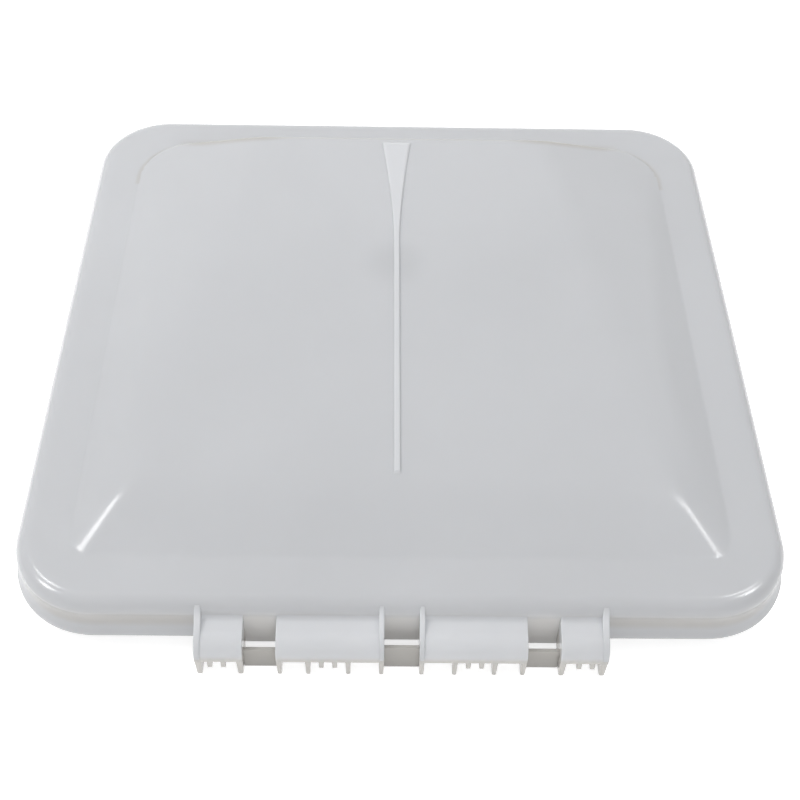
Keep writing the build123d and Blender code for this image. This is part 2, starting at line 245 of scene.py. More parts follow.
def drawnMetal(name, look):
    # metal with drawing lines: noise stretched along the way that the piece was drawn
    material, nodes, links, shader = newMaterial(name)
    stretch = nodes.new("ShaderNodeMapping")
    stretch.inputs["Scale"].default_value = look["stretch"]
    links.new(nodes.new("ShaderNodeTexCoord").outputs["Object"], stretch.inputs["Vector"])
    lines = noise(nodes, links, stretch.outputs["Vector"], 1, 4)
    low, high = ([c * share for c in look["colour"]] for share in (0.86, 1.1))
    links.new(twoTone(nodes, links, lines, low, high), shader.inputs["Base Color"])
    rough = look["roughness"] - 0.06, look["roughness"] + 0.08
    links.new(mapped(nodes, links, lines, toRange=rough), shader.inputs["Roughness"])
    addBump(nodes, links, shader, lines, 0.00002, 0.4)
    shader.inputs["Metallic"].default_value = 1
    return material


# a painted shadow of the track's pad, darkening the dome's top above it
padShadow = {"place": (-0.004, 0.035, 0.039), "inner": 0.004, "outer": 0.024, "depth": 0.06}
# the lid's plastic, with that painted shadow and the painted shade and light of the skin's point
# attributes
lidPlastic = mouldedPlastic("lidPlastic", plasticLook, patch=padShadow, paintedShade=True)
# a lighter copy of the plastic: a painted highlight along the spine
spineHighlightPlastic = mouldedPlastic("spineHighlightPlastic", plasticLook, lighten=1.13)
# a lighter copy for the hinge, painted light, turning to painted shade below 6 mm on the covers' lower
# edges and the web and rib tips
hingeLitAndShadedPlastic = mouldedPlastic("hingeLitAndShadedPlastic", plasticLook, lighten=1.23, shade=(0.006, 0.002))
# a lighter copy of the plastic: painted light on the gussets
gussetLitPlastic = mouldedPlastic("gussetLitPlastic", plasticLook, lighten=1.27)
# a darker copy turned to the deep colour over the strips' whole height: painted shade
stripShadedPlastic = mouldedPlastic("stripShadedPlastic", plasticLook, lighten=0.86, shade=(0.02, 0.004))
blockNylon = mouldedPlastic("blockNylon", {**plasticLook, "colour": (0.76, 0.74, 0.68)})
print("stage: materials made")


# The lid's skin: dome, flange, rounded rim and skirt in one closed surface
lidShape = {
    "rimHalf": (190.5, 185.5),
    "rimCorner": 42.0,
    "rounding": 8.0,
    "flange": 24.0,
    "wall": 2.2,
    "lipOut": 2.4,
    "lipEdge": 1.2,
    "lipRound": 0.35,
    "coveIn": 0.4,
    "coveMiddle": 8.0,
    "domeHalf": 163.5,
    "domeFront": 157.0,
    "domeBack": 155.0,
    "domeCorner": 28.0,
    "backDraft": 31.0,
    "wallSlope": 0.45,
    "crestFront": 121.5,
    "crestHeight": 9.6,
    "backHeight": 19.0,
    "underInset": 1.1,
    "panelFront": 137.0,
    "panelBack": 89.0,
    "apronIn": 2.6,
    "apronHalf": 97.0,
    "apronTurn": 13.0,
    "apronDrop": 8.9,
    "middleHalf": 9.7,
    "middleDrop": 6.4,
    "gridX": 168.0,
    "gridFront": -160.0,
    "gridBack": 158.0,
}

# the facet between panel and side wall narrows from its middle to the back and to the front
facetShape = {
    "middle": -30.0,
    "run": 20.5,
    "least": 2.0,
    "backRun": 172.0,
    "backCurve": 1.7,
    "frontRun": 123.0,
    "frontCurve": 2.2,
}

# how far the dome's edges are rounded; the hip starts at hipX
softEdges = {
    "panel": 1.8,
    "wall": 1.3,
    "hip": 2.2,
    "foot": 5.0,
    "crest": 2.2,
    "back": 1.5,
    "base": 0.35,
    "hipX": 135.0,
    "crestFade": 40.0,
    "footFade": 28.0,
}

spineShape = {
    "middle": -2.5,
    "half": 1.6,
    "height": 1.2,
    "front": -113.0,
    "back": 139.5,
    "flareHalf": 8.75,
    "flareStart": 55.0,
    "flareCurve": 1.55,
    "edge": 0.35,
    "endRound": 0.6,
    "backFade": 4.0,
}


def spineHalfWidth(y):
    # half + (flareHalf - half) * t^flareCurve, t from 0 where the flare starts to 1 at its end
    p = spineShape
    t = np.clip((y - p["flareStart"]) / (p["back"] - p["flareStart"]), 0, 1)
    return p["half"] + (p["flareHalf"] - p["half"]) * t ** p["flareCurve"]


def domeHeight(x, y, inset):
    # height above the flange: the soft lowest of panel, facet, side wall, front slope and back
    # wall, where panel = crest height + slope * distance behind the crest, side wall = slope *
    # distance from the side, front slope = the same from the front, and back wall = distance
    # from the rounded base line / tan(draft)
    s, p, e = lidShape, facetShape, softEdges
    ax = np.abs(x)
    draft = np.tan(np.radians(s["backDraft"]))
    backTop = s["domeBack"] - s["backHeight"] * draft
    share = (y + s["crestFront"]) / (backTop + s["crestFront"])
    panelHalf = s["panelFront"] + (s["panelBack"] - s["panelFront"]) * share
    panel = s["crestHeight"] + (s["backHeight"] - s["crestHeight"]) * share
    behind = np.clip((y - p["middle"]) / p["backRun"], 0, 1) ** p["backCurve"]
    before = np.clip((p["middle"] - y) / p["frontRun"], 0, 1) ** p["frontCurve"]
    run = np.maximum(p["run"] * (1 - behind - before), p["least"])
    fall = (panel - s["wallSlope"] * run) / (s["domeHalf"] - run - panelHalf)
    facet = panel - fall * (ax - panelHalf)
    side = s["wallSlope"] * (s["domeHalf"] - ax)
    front = s["crestHeight"] / (s["domeFront"] - s["crestFront"]) * (y + s["domeFront"])
    out = cornerDistance(x, y, s["domeHalf"], s["domeBack"], s["domeCorner"])
    back = (s["domeCorner"] - inset - out) / draft
    crestReach = e["hip"] + (e["crest"] - e["hip"]) * smoothStep((e["hipX"] - ax) / e["crestFade"])
    crestReach = crestReach + (e["foot"] - e["hip"]) * smoothStep((ax - e["hipX"]) / e["footFade"])
    top = softMin(panel, facet, e["panel"])
    top = softMin(top, side, e["wall"])
    top = softMin(top, front, crestReach)
    top = softMin(top, back, e["back"])
    return softMax(top, 0 * top, e["base"])


def spineRise(x, y):
    # a flat-topped rib: full height inside its half width, falling over a short edge
    p = spineShape
    side = smoothStep((spineHalfWidth(y) + p["edge"] - np.abs(x - p["middle"])) / (2 * p["edge"]))
    front = smoothStep((y - p["front"] + p["endRound"]) / (2 * p["endRound"]))
    back = smoothStep((p["back"] + p["endRound"] - y) / p["backFade"])
    return p["height"] * side * front * back


def coveOffset(z):
    # circle through the lip, the cove's middle and the rim's widest line
    s = lidShape
    a, b = (s["lipOut"], s["lipEdge"]), (-s["coveIn"], s["coveMiddle"])
    c = (0.0, s["flange"] - s["rounding"])
    m = np.array([[b[0] - a[0], b[1] - a[1]], [c[0] - a[0], c[1] - a[1]]])
    squares = [b[0]**2 - a[0]**2 + b[1]**2 - a[1]**2, c[0]**2 - a[0]**2 + c[1]**2 - a[1]**2]
    cx, cz = np.linalg.solve(m, 0.5 * np.array(squares))
    radius = np.hypot(a[0] - cx, a[1] - cz)
    return cx - np.sqrt(radius**2 - (z - cz) ** 2)


def skirtProfile():
    # rows of (offset outward from the rim line, height, outer or inner), flange to flange
    s = lidShape
    r, top = s["rounding"], s["flange"]
    level = top - r
    turn = np.radians(np.linspace(9, 90, 10))
    rows = [(-r + r * np.sin(a), level + r * np.cos(a), 1) for a in turn]
    heights = np.linspace(level - 1.0, s["lipEdge"], 15)
    rows += [(coveOffset(z), z, 1) for z in heights]
    # the lip's lower edge, rounded outside and inside
    lip, inside, edge = s["lipOut"], s["lipOut"] - s["wall"], s["lipRound"]
    rows += [(lip, edge, 1), (lip - 0.12, 0.1, 1), (lip - 0.4, 0, 1)]
    rows += [(inside + edge, 0, -1), (inside, edge, -1)]
    rows += [(coveOffset(z) - s["wall"], z, -1) for z in heights[::-1]]
    inner = r - s["wall"]
    rows += [(-r + inner * np.sin(a), level + inner * np.cos(a), -1) for a in turn[::-2]]
    rows.append((-r, top - s["wall"], -1))
    return np.array(rows)


# shares of the deep colour as painted shade, one pair of heights for painted light, and the
# heights or distances between which they come and go
paintedSkinShade = {
    "core": 0.7,
    "side": 0.2,
    "coreTop": (19.0, 13.0),
    "coreFoot": (9.0, 4.0),
    "lip": -0.1,
    "apronTop": (20.0, 12.0),
    "paintedLightTop": (19.0, 13.0),
    "valley": 0.3,
    "backFade": 2.5,
    "back": 0.6,
    "backFrom": 120.0,
    "wallEnd": 138.0,
    "edge": 0.7,
    "edgeCorner": 0.3,
    "edgeFrom": 100.0,
    "edgeFall": (4.0, 6.0),
    "cornerStart": 66.0,
    "cornerRise": 22.0,
    "cornerEnd": 122.0,
    "cornerFade": 24.0,
    "edgeFade": 30.0,
}


def skirtShade(ring, normY, plain):
    # share of painted shade down the skirt: it rises from the rounding to the cove's middle
    # and falls again to the lip, full at the hinge side and along the lowest edge away from the
    # aprons; behind the hinge it goes on rising
    t = paintedSkinShade
    z = ring[:, :, 2]
    facing = t["side"] + (t["core"] - t["side"]) * smoothStep((-normY - 0.45) / 0.5)
    foot = falling(z, *t["coreFoot"])
    cove = falling(z, *t["coreTop"]) * (1 - foot * (1 - t["lip"] / t["core"])) * facing
    apron = t["core"] * falling(z, *t["apronTop"])
    edge = np.where(z < 0.5, t["core"], 0) * ~plain
    return np.where(plain, apron, np.maximum(cove, edge))


def backShade(points):
    # share of painted shade at the dome's back wall. In the crease behind it, painted shade:
    # full from the rounded base line out to valley * the wall's height, then fading. On its
    # rounded top edge: a painted dark line, widest between panel and corner
    x, y = points[:, :, 0], points[:, :, 1]
    s, t = lidShape, paintedSkinShade
    away = cornerDistance(x, y, s["domeHalf"], s["domeBack"], s["domeCorner"]) - s["domeCorner"]
    reach = t["valley"] * domeHeight(x, np.minimum(y, t["wallEnd"]), 0)
    behind = (away > -1) & (y > t["backFrom"])
    crease = t["back"] * behind * (1 - smoothStep((away - reach) / t["backFade"]))
    ax = np.abs(x)
    past = ax - t["cornerEnd"]
    corner = smoothStep((ax - t["cornerStart"]) / t["cornerRise"])
    corner = corner * (1 - smoothStep(past / t["cornerFade"]))
    share = (t["edge"] + t["edgeCorner"] * corner) * (1 - smoothStep(past / t["edgeFade"]))
    below = -away / np.tan(np.radians(s["backDraft"])) - domeHeight(x, y, 0)
    width = t["edgeFall"][0] + t["edgeFall"][1] * corner
    edge = share * (1 - smoothStep(below / width)) * (y > t["edgeFrom"]) * (away <= 0)
    return np.maximum(crease, edge)


def skinGrid():
    # x and y lines over the dome and flange, close together at the spine, hips and back wall
    s = lidShape
    halfX = np.concatenate([
        np.array([0, 0.6, 1.2, 1.42, 1.6, 1.78, 2.0, 2.6, 4.0, 6.2, 8.6, 10.8]),
        np.linspace(13.5, 84, 21), np.linspace(87, 128, 19), [96.4, 97.6],
        np.linspace(130, s["gridX"], 33),
    ])
    halfX = np.unique(np.round(halfX, 3))
    ys = np.concatenate([
        np.linspace(s["gridFront"], -118, 36), [-114.2, -113.6, -113, -112.4, -111.8],
        np.linspace(-115, 90, 62), np.linspace(92, 136, 26), np.linspace(136.8, s["gridBack"], 28),
    ])
    return np.concatenate([-halfX[:0:-1], halfX]), np.unique(np.round(ys, 3))


def rimTargets(bx, by):
    # where each border column meets the rim line, and which way is outward there: straight on
    # the sides, and on the rim's corner arc by up to 45 degrees from each side
    s = lidShape
    hx, hy, r = s["rimHalf"][0], s["rimHalf"][1], s["rimCorner"]
    onX = np.isclose(np.abs(bx), s["gridX"])
    onX &= ~np.isclose(by, s["gridFront"]) & ~np.isclose(by, s["gridBack"])
    reachY = np.where(by < 0, -s["gridFront"], s["gridBack"])
    turnY = np.clip((np.abs(by) - (hy - r)) / (reachY - (hy - r)), 0, 1) * np.pi / 4
    turnX = np.clip((np.abs(bx) - (hx - r)) / (s["gridX"] - (hx - r)), 0, 1) * np.pi / 4
    normX = np.where(onX, np.sign(bx) * np.cos(turnY), np.sign(bx) * np.sin(turnX))
    normY = np.where(onX, np.sign(by) * np.sin(turnY), np.sign(by) * np.cos(turnX))
    baseX = np.clip(bx, -(hx - r), hx - r) + r * normX
    baseY = np.clip(by, -(hy - r), hy - r) + r * normY
    return baseX, baseY, normX, normY, ~onX & (by < 0)


def buildSkin():
    # top = flange + dome + spine and low = the same less the wall, over one grid; their borders
    # are joined by rings that run out to the rim line and follow the skirt's profile
    s = lidShape
    column, gy = np.meshgrid(*skinGrid(), indexing="ij")
    # columns near the middle are pushed outward with the spine's edge and along with its
    # middle, fading over 60 mm to the sides
    fade = 1 - smoothStep((np.abs(column) - 2.6) / 60)
    push = (spineHalfWidth(gy) - spineShape["half"]) * np.clip(column / spineShape["half"], -1, 1)
    gx = column + (push + spineShape["middle"] * smoothStep((gy - s["gridFront"]) / 30)) * fade
    nx, ny = gx.shape
    topZ = s["flange"] + domeHeight(gx, gy, 0) + spineRise(gx, gy)
    lowZ = s["flange"] - s["wall"] + domeHeight(gx, gy, s["underInset"])
    top = np.stack([gx, gy, topZ], -1)
    low = np.stack([gx, gy, lowZ], -1)
    number = np.arange(nx * ny).reshape(nx, ny)
    border = np.concatenate([number[:-1, 0], number[-1, :-1], number[:0:-1, -1], number[0, :0:-1]])
    bx, by = gx.ravel()[border], gy.ravel()[border]
    baseX, baseY, normX, normY, isFront = rimTargets(bx, by)
    plain = isFront & (np.abs(bx) < s["apronHalf"])

    def flatRing(t, z):
        # a ring at share t of the way from the grid's border to the rim's rounding
        return np.stack([
            bx + t * (baseX - s["rounding"] * normX - bx),
            by + t * (baseY - s["rounding"] * normY - by),
            np.full_like(bx, z),
        ], -1)

    ring = [flatRing(t, s["flange"]) for t in (0.35, 0.75, 1.0)]
    # behind the hinge the skirt turns inward and runs down plain, deeper than the lip
    drop = np.where(np.abs(bx) < s["middleHalf"], s["middleDrop"], s["apronDrop"])
    turnZ, widest = s["apronTurn"], s["flange"] - s["rounding"]
    for out, z, face in skirtProfile():
        deep = z if z > turnZ else turnZ - (turnZ - z) * (turnZ + drop) / turnZ
        height = np.where(plain, deep, z)
        fall = (s["lipOut"] - s["apronIn"]) * smoothStep((widest - height) / 4)
        fall = fall - (s["wall"] if face < 0 else 0)
        offset = np.where(plain & (z < widest), fall, out)
        ring.append(np.stack([baseX + offset * normX, baseY + offset * normY, height], -1))
    ring.append(flatRing(0.5, s["flange"] - s["wall"]))
    ring = np.array(ring)
    rowCount, columnCount = ring.shape[:2]
    ringNumber = nx * ny + np.arange(rowCount * columnCount).reshape(rowCount, columnCount)
    lowNumber = nx * ny + rowCount * columnCount + number
    joined = np.vstack([border[None], ringNumber, lowNumber.ravel()[border][None]])
    faces = np.vstack([
        quadFaces(number),
        quadFaces(lowNumber)[:, ::-1],
        quadFaces(joined, closeColumns=True),
    ])
    points = np.vstack([top.reshape(-1, 3), ring.reshape(-1, 3), low.reshape(-1, 3)])
    bare = 0 * number.ravel()
    # painted light and glow on the aprons behind the hinge, from the rim's rounding downward
    paintedLight = plain * falling(ring[:, :, 2], *paintedSkinShade["paintedLightTop"])
    # point attributes: painted shade at the dome's back and down the skirt, painted light on the aprons
    tones = {
        "paintedShade": np.concatenate([backShade(top).ravel(), skirtShade(ring, normY, plain).ravel(), bare]),
        "paintedLight": np.concatenate([bare, paintedLight.ravel(), bare]),
    }
    p = spineShape
    onSpine = (np.abs(column) <= p["half"]) & (gy >= p["front"] - p["endRound"]) & (gy <= p["back"])
    corners = onSpine[:-1, :-1] & onSpine[1:, 1:]
    materialOf = np.zeros(len(faces), int)
    materialOf[:corners.size] = corners.ravel()
    return points, faces, materialOf, tones


skinPoints, skinFaces, spineFaces, paintedSkinAttributes = buildSkin()
lidSkin = makePiece("lidSkin", skinPoints, skinFaces, lidPlastic, "lid_body",
                    smoothAngle=50)
# the spine's faces take the lighter plastic, a painted highlight
lidSkin.data.materials.append(spineHighlightPlastic)
lidSkin.data.polygons.foreach_set("material_index", spineFaces)
for tone, values in paintedSkinAttributes.items():
    lidSkin.data.attributes.new(tone, "FLOAT", "POINT").data.foreach_set("value", values)
print("stage: lid skin", len(skinFaces), "quads")


# Hinge: covers, webs, ribs, gussets and strips
hinge = {
    "reach": 14.5,
    "top": 13.8,
    "fall": 1.2,
    "coverWall": 2.0,
    "fillet": 3.2,
    "bend": 10.0,
    "end": 0.8,
    "half": 99.0,
    "outerStart": 76.0,
    "innerEnd": 60.1,
    "innerStart": 8.4,
    "endWeb": 3.2,
    "web": 2.6,
    "inset": 0.4,
    "webDrop": 12.6,
    "ribDrop": 5.7,
    "tip": 2.4,
    "ribTip": 1.3,
    "back": 1.0,
    "taper": 0.26,
    "groupMiddle": 35.35,
    "pitch": 6.45,
    "outerRib": 92.0,
    "gussetHollow": 1.0,
    "gussetFoot": 63.3,
    "bead": 0.35,
    "stripBack": 7.08,
    "stripWall": 1.8,
    "stripTop": 2.8,
    "middleTop": 5.4,
    "rodOut": 4.4,
    "rodDrop": 8.0,
    "rodRadius": 2.38,
    "ribGap": 0.5,
    "bore": 2.44,
    "webRounding": 0.4,
    "stripHold": 0.3,
    "stripCut": 0.5,
    "sunk": 1.0,
}
hingeRoot = -lidShape["apronIn"] - lidShape["wall"] / 2
bendZ = hinge["top"] - hinge["fall"] - hinge["bend"]
bendOut = hinge["reach"] - hinge["bend"]


def narrowing(z):
    # share of a web's width left at height z: all of it above the cover's edge, less at the tip
    return 1 - hinge["taper"] * np.clip((hinge["end"] - z) / (hinge["end"] + hinge["webDrop"]), 0, 1)


def carryAlongX(outline, start, end, tapered=False):
    # outline rows of (outward, up) joined into a loop, carried straight along x and capped
    outline = np.asarray(outline, float)
    n = len(outline)
    middle, half = (start + end) / 2, (end - start) / 2
    share = narrowing(outline[:, 1]) if tapered else np.ones(n)
    points = []
    for side in (-1, 1):
        x = middle + side * half * share
        points.append(np.stack([x, hingeBase - outline[:, 0], outline[:, 1]], -1))
    index = np.arange(2 * n).reshape(2, n)
    faces = [list(f) for f in quadFaces(index, closeColumns=True)]
    faces.append(list(index[0]))
    faces.append(list(index[1][::-1]))
    points = np.vstack(points)
    return points, faces


def facingOut(points, faces):
    # turns every face round where the closed shape's volume comes out negative
    volume = 0
    for f in faces:
        p = points[f]
        volume += np.sum(np.cross(p[0], p[1:-1]) * p[2:]) if len(p) > 2 else 0
    return faces if volume > 0 else [list(f)[::-1] for f in faces]


def arcPoints(centre, radius, start, end, count):
    # points on a circle between two angles in degrees
    turn = np.radians(np.linspace(start, end, count))
    return np.stack([centre[0] + radius * np.cos(turn), centre[1] + radius * np.sin(turn)], -1)


def coverOutline():
    # a hollow fillet down the skirt, the top, the bend, the lower edge and back inside
    outer = arcPoints((bendOut, bendZ), hinge["bend"], 90, 0, 17)
    inner = arcPoints((bendOut, bendZ), hinge["bend"] - hinge["coverWall"], 0, 90, 15)
    radius, high = hinge["fillet"], hinge["top"] + hinge["fillet"]
    fillet = arcPoints((radius - lidShape["apronIn"], high), radius, 180, 270, 8)
    return np.vstack([
        [(hingeRoot, high)], fillet, outer,
        [(hinge["reach"], hinge["end"]), (hinge["reach"] - hinge["coverWall"], hinge["end"])],
        inner, [(hingeRoot, hinge["top"] - hinge["coverWall"])],
    ])


def webOutline():
    # the cover's bend set in a little, straight down in front, a rounded tip and a slope back
    front = hinge["reach"] - hinge["inset"]
    bend = hinge["bend"] - hinge["inset"]
    drop = hinge["webDrop"]
    return np.vstack([
        [(hingeRoot, bendZ + bend)],
        arcPoints((bendOut, bendZ), bend, 90, 0, 13),
        arcPoints((front - hinge["tip"], hinge["tip"] - drop), hinge["tip"], 0, -90, 8),
        arcPoints((hinge["back"] + 0.6, 1.0 - drop), 1.0, -90, -134, 4),
        [(hingeRoot, -drop / 2)],
    ])


def ribOutline():
    # a plate in front of the rod, rounded below, that ends inside the cover above
    front = hinge["reach"] - hinge["inset"]
    back = hinge["rodOut"] + hinge["rodRadius"] + hinge["ribGap"]
    tip, low = hinge["ribTip"], hinge["ribTip"] - hinge["ribDrop"]
    return np.vstack([
        arcPoints((bendOut, bendZ), hinge["bend"] - hinge["sunk"], 70, 0, 9),
        arcPoints((front - tip, low), tip, 0, -90, 6),
        arcPoints((back + tip, low), tip, -90, -180, 6),
    ])


def ringSamples(outline, centre, count):
    # the outline cut by rays from the rod's centre at even angles, as a star-shaped loop
    turns = np.linspace(0, 2 * np.pi, count, endpoint=False)
    ray = np.stack([np.cos(turns), np.sin(turns)], -1)
    a = outline - centre
    b = np.roll(outline, -1, axis=0) - centre
    edge = b - a
    cross = ray[:, None, 0] * edge[None, :, 1] - ray[:, None, 1] * edge[None, :, 0]
    cross = np.where(np.abs(cross) < 1e-9, 1e-9, cross)
    far = (a[None, :, 0] * edge[None, :, 1] - a[None, :, 1] * edge[None, :, 0]) / cross
    along = (a[None, :, 0] * ray[:, None, 1] - a[None, :, 1] * ray[:, None, 0]) / cross
    far = np.where((far > 0) & (along >= -1e-6) & (along <= 1 + 1e-6), far, np.inf)
    return centre + ray * far.min(axis=1)[:, None], centre + ray * hinge["bore"]


def webPiece(x, width):
    # a ring-shaped plate: bore wall, side face, outer edge and the other side face, closed
    # both ways; it narrows towards its tip
    centre = np.array([hinge["rodOut"], -hinge["rodDrop"]])
    outer, bore = ringSamples(webOutline(), centre, 120)
    rounding = hinge["webRounding"]
    toward = (centre - outer) / np.linalg.norm(centre - outer, axis=1)[:, None]
    loops = []
    for side, inset, base in ((-1, rounding, outer), (-0.75, 0.1, outer), (-0.45, 0, outer),
                              (0.45, 0, outer), (0.75, 0.1, outer), (1, rounding, outer),
                              (1, 0, bore), (-1, 0, bore)):
        loop = base + toward * inset
        reach = side * width / 2 * narrowing(loop[:, 1])
        loops.append(np.stack([x + reach, hingeBase - loop[:, 0], loop[:, 1]], -1))
    points = np.vstack(loops)
    index = np.arange(len(points)).reshape(len(loops), -1)
    faces = quadFaces(index, closeRows=True, closeColumns=True)
    return points, [list(f) for f in faces]


def gussetOutline():
    # a hollow curve from the rim's rounding to the cover, then a bead that follows the cover's
    # bend and sinks into it: radius = bend + bead * angle / foot angle
    s = lidShape
    bendCentre = -s["lipOut"] - s["rounding"]
    level = s["flange"] - s["rounding"]
    slope = np.sqrt(0.5)
    start = np.array([bendCentre + s["rounding"] * slope, level + s["rounding"] * slope])
    turn = np.radians(np.linspace(hinge["gussetFoot"], 0, 12))
    radius = hinge["bend"] + hinge["bead"] * turn / turn[0]
    bead = np.stack([bendOut + radius * np.cos(turn), bendZ + radius * np.sin(turn)], -1)
    t = np.linspace(0, 1, 9)[:-1, None]
    chord = bead[0] - start
    hollow = np.array([-chord[1], chord[0]]) / np.linalg.norm(chord) * -hinge["gussetHollow"]
    curve = start + chord * t + hollow * 4 * t * (1 - t)
    inside = arcPoints((bendOut, bendZ), hinge["bend"] - hinge["sunk"], 0, 90, 10)
    return np.vstack([
        curve, bead, inside, [(hingeRoot, hinge["top"] - hinge["sunk"]), (hingeRoot, level)],
        [(bendCentre + 6.9 * slope, level + 6.9 * slope)],
    ])


def merge(parts):
    # several closed shapes in one mesh
    points, faces, count = [], [], 0
    for p, f in parts:
        points.append(p)
        faces += [[i + count for i in face] for face in facingOut(p, f)]
        count += len(p)
    return np.vstack(points), faces


endWebX = hinge["half"] - hinge["endWeb"] / 2
webSpots = [
    (hinge["innerStart"] + hinge["web"] / 2, hinge["web"]),
    (hinge["groupMiddle"] - 1.5 * hinge["pitch"], hinge["web"]),
    (hinge["groupMiddle"] + 1.5 * hinge["pitch"], hinge["web"]),
    (hinge["innerEnd"] - hinge["web"] / 2, hinge["web"]),
    (hinge["outerStart"] + hinge["endWeb"] / 2, hinge["endWeb"]),
    (endWebX, hinge["endWeb"]),
]
ribSpots = [
    hinge["groupMiddle"] - 0.5 * hinge["pitch"],
    hinge["groupMiddle"] + 0.5 * hinge["pitch"],
    hinge["outerRib"] - hinge["pitch"],
    hinge["outerRib"],
]


def barOutline(back, thickness, low, high):
    # an upright bar with its front top edge taken off
    front, cut = back + thickness, hinge["stripCut"]
    return [(back, low), (front, low), (front, high - cut), (front - cut, high), (back, high)]


covers, webParts, ribParts, gussets, strips = [], [], [], [], []
hold = hinge["stripHold"]
for side in (-1, 1):
    covers.append(carryAlongX(coverOutline(), side * hinge["innerStart"], side * hinge["innerEnd"]))
    covers.append(carryAlongX(coverOutline(), side * hinge["outerStart"], side * hinge["half"]))
    for x, width in webSpots:
        webParts.append(webPiece(side * x, width))
    for x in ribSpots:
        start, end = side * x - hinge["web"] / 2, side * x + hinge["web"] / 2
        ribParts.append(carryAlongX(ribOutline(), start, end, tapered=True))
    for x, width in (webSpots[0], webSpots[-1]):
        gussets.append(carryAlongX(gussetOutline(), side * x - width / 2, side * x + width / 2))
    bar = barOutline(hinge["stripBack"], hinge["stripWall"], -hinge["webDrop"], hinge["stripTop"])
    start, end = hinge["innerEnd"] - hold, hinge["outerStart"] + hold
    strips.append(carryAlongX(bar, side * start, side * end))
bar = barOutline(hinge["stripBack"], hinge["stripWall"], -hinge["webDrop"], hinge["middleTop"])
strips.append(carryAlongX(bar, -hinge["innerStart"] - hold, hinge["innerStart"] + hold))

visual = [lidSkin]
for name, parts, material, bevel in (
    ("hingeCovers", covers, hingeLitAndShadedPlastic, 0.35),
    ("hingeWebs", webParts, hingeLitAndShadedPlastic, 0),
    ("hingeRibs", ribParts, hingeLitAndShadedPlastic, 0.35),
    ("hingeGussets", gussets, gussetLitPlastic, 0.7),
    ("hingeStrips", strips, stripShadedPlastic, 0.25),
):
    points, faces = merge(parts)
    visual.append(makePiece(name, points, faces, material, "lid_body", bevel=bevel))
print("stage: hinge made")


# Bosses and pad frame under the dome
seatShape = {
    "y": 35.0,
    "screwSpan": 63.0,
    "boss": 4.8,
    "bore": 1.95,
    "boreDepth": 4.6,
    "edge": 0.3,
    "level": 30.0,
    "pad": (16.0, 34.0),
    "wall": 2.0,
}


def seatTop(y):
    # a height inside the skin over the place (0, y)
    dome = domeHeight(np.array(0.0), np.array(y), lidShape["underInset"])
    return lidShape["flange"] - lidShape["wall"] + float(dome) + 1.0


def bossPiece(y):
    # a tapered tube turned about an upright axis, from the track's seat up into the skin
    top, level, edge = seatTop(y), seatShape["level"], seatShape["edge"]
    bore, boss = seatShape["bore"], seatShape["boss"]
    outline = np.array([
        (bore, level + seatShape["boreDepth"]), (bore, level + edge), (bore + edge, level),
        (boss - edge, level), (boss, level + edge),
        (boss + 0.25, top - 2.6), (boss + 0.7, top - 1.6), (boss + 1.7, top),
    ])
    turn = np.linspace(0, 2 * np.pi, 48, endpoint=False)
    rings = [
        np.stack([r * np.cos(turn), y + r * np.sin(turn), np.full(48, z)], -1) for r, z in outline
    ]
    points = np.vstack(rings)
    index = np.arange(len(points)).reshape(len(outline), 48)
    faces = [list(f) for f in quadFaces(index, closeColumns=True)]
    faces.append(list(index[0]))
    faces.append(list(index[-1][::-1]))
    return points, faces


def framePiece():
    # a rectangular frame: outer and inner loop, lower and upper edge
    w, l = seatShape["pad"][0] / 2, seatShape["pad"][1] / 2
    t, y, level = seatShape["wall"], seatShape["y"], seatShape["level"]
    top = seatTop(y)
    loops = []
    for a, b, z in ((w, l, level), (w, l, top), (w - t, l - t, top), (w - t, l - t, level)):
        loops.append(np.array([(-a, y - b, z), (a, y - b, z), (a, y + b, z), (-a, y + b, z)]))
    points = np.vstack(loops)
    index = np.arange(16).reshape(4, 4)
    return points, [list(f) for f in quadFaces(index, closeRows=True, closeColumns=True)]


bossSpots = [seatShape["y"] + way * seatShape["screwSpan"] for way in (-1, 1)]
points, faces = merge([*map(bossPiece, bossSpots), framePiece()])
visual.append(makePiece("trackSeats", points, faces, lidPlastic, "lid_body", bevel=0.25))
for piece in visual:
    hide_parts("lid")
print("stage: track seats made")

# Carried-over nodes get their own finishes
finishes = {
    "hinge_rod": drawnMetal("rodSteel", metalLook["rod"]),
    "rod_clip_left": drawnMetal("clipSteelLeft", metalLook["clip"]),
    "rod_clip_right": drawnMetal("clipSteelRight", metalLook["clip"]),
    "arm_track": drawnMetal("trackAluminium", metalLook["track"]),
    "track_screws": drawnMetal("screwSteel", metalLook["screw"]),
    "slide_block": blockNylon,
}
for name, material in finishes.items():
    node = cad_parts[name]
    for place in node.material_slots:
        place.material = material
print("stage: nodes finished")


# Floor, light and camera
stageLook = {
    "floorLevel": -0.0128,
    "floorSize": 6.0,
    "floorColour": (0.93, 0.93, 0.93, 1),
    "floorRoughness": 0.9,
    "floorGlow": 0.67,
    "world": 0.5,
    "white": 1.0,
}


def seenDirectly(nodes, links):
    # 1 for camera, glossy and transmission rays, 0 for the light that falls on the object
    ray = nodes.new("ShaderNodeLightPath")
    seen = ray.outputs["Is Camera Ray"]
    for kind in ("Is Glossy Ray", "Is Transmission Ray"):
        either = nodes.new("ShaderNodeMath")
        either.operation = "MAXIMUM"
        links.new(seen, either.inputs[0])
        links.new(ray.outputs[kind], either.inputs[1])
        seen = either.outputs[0]
    return seen


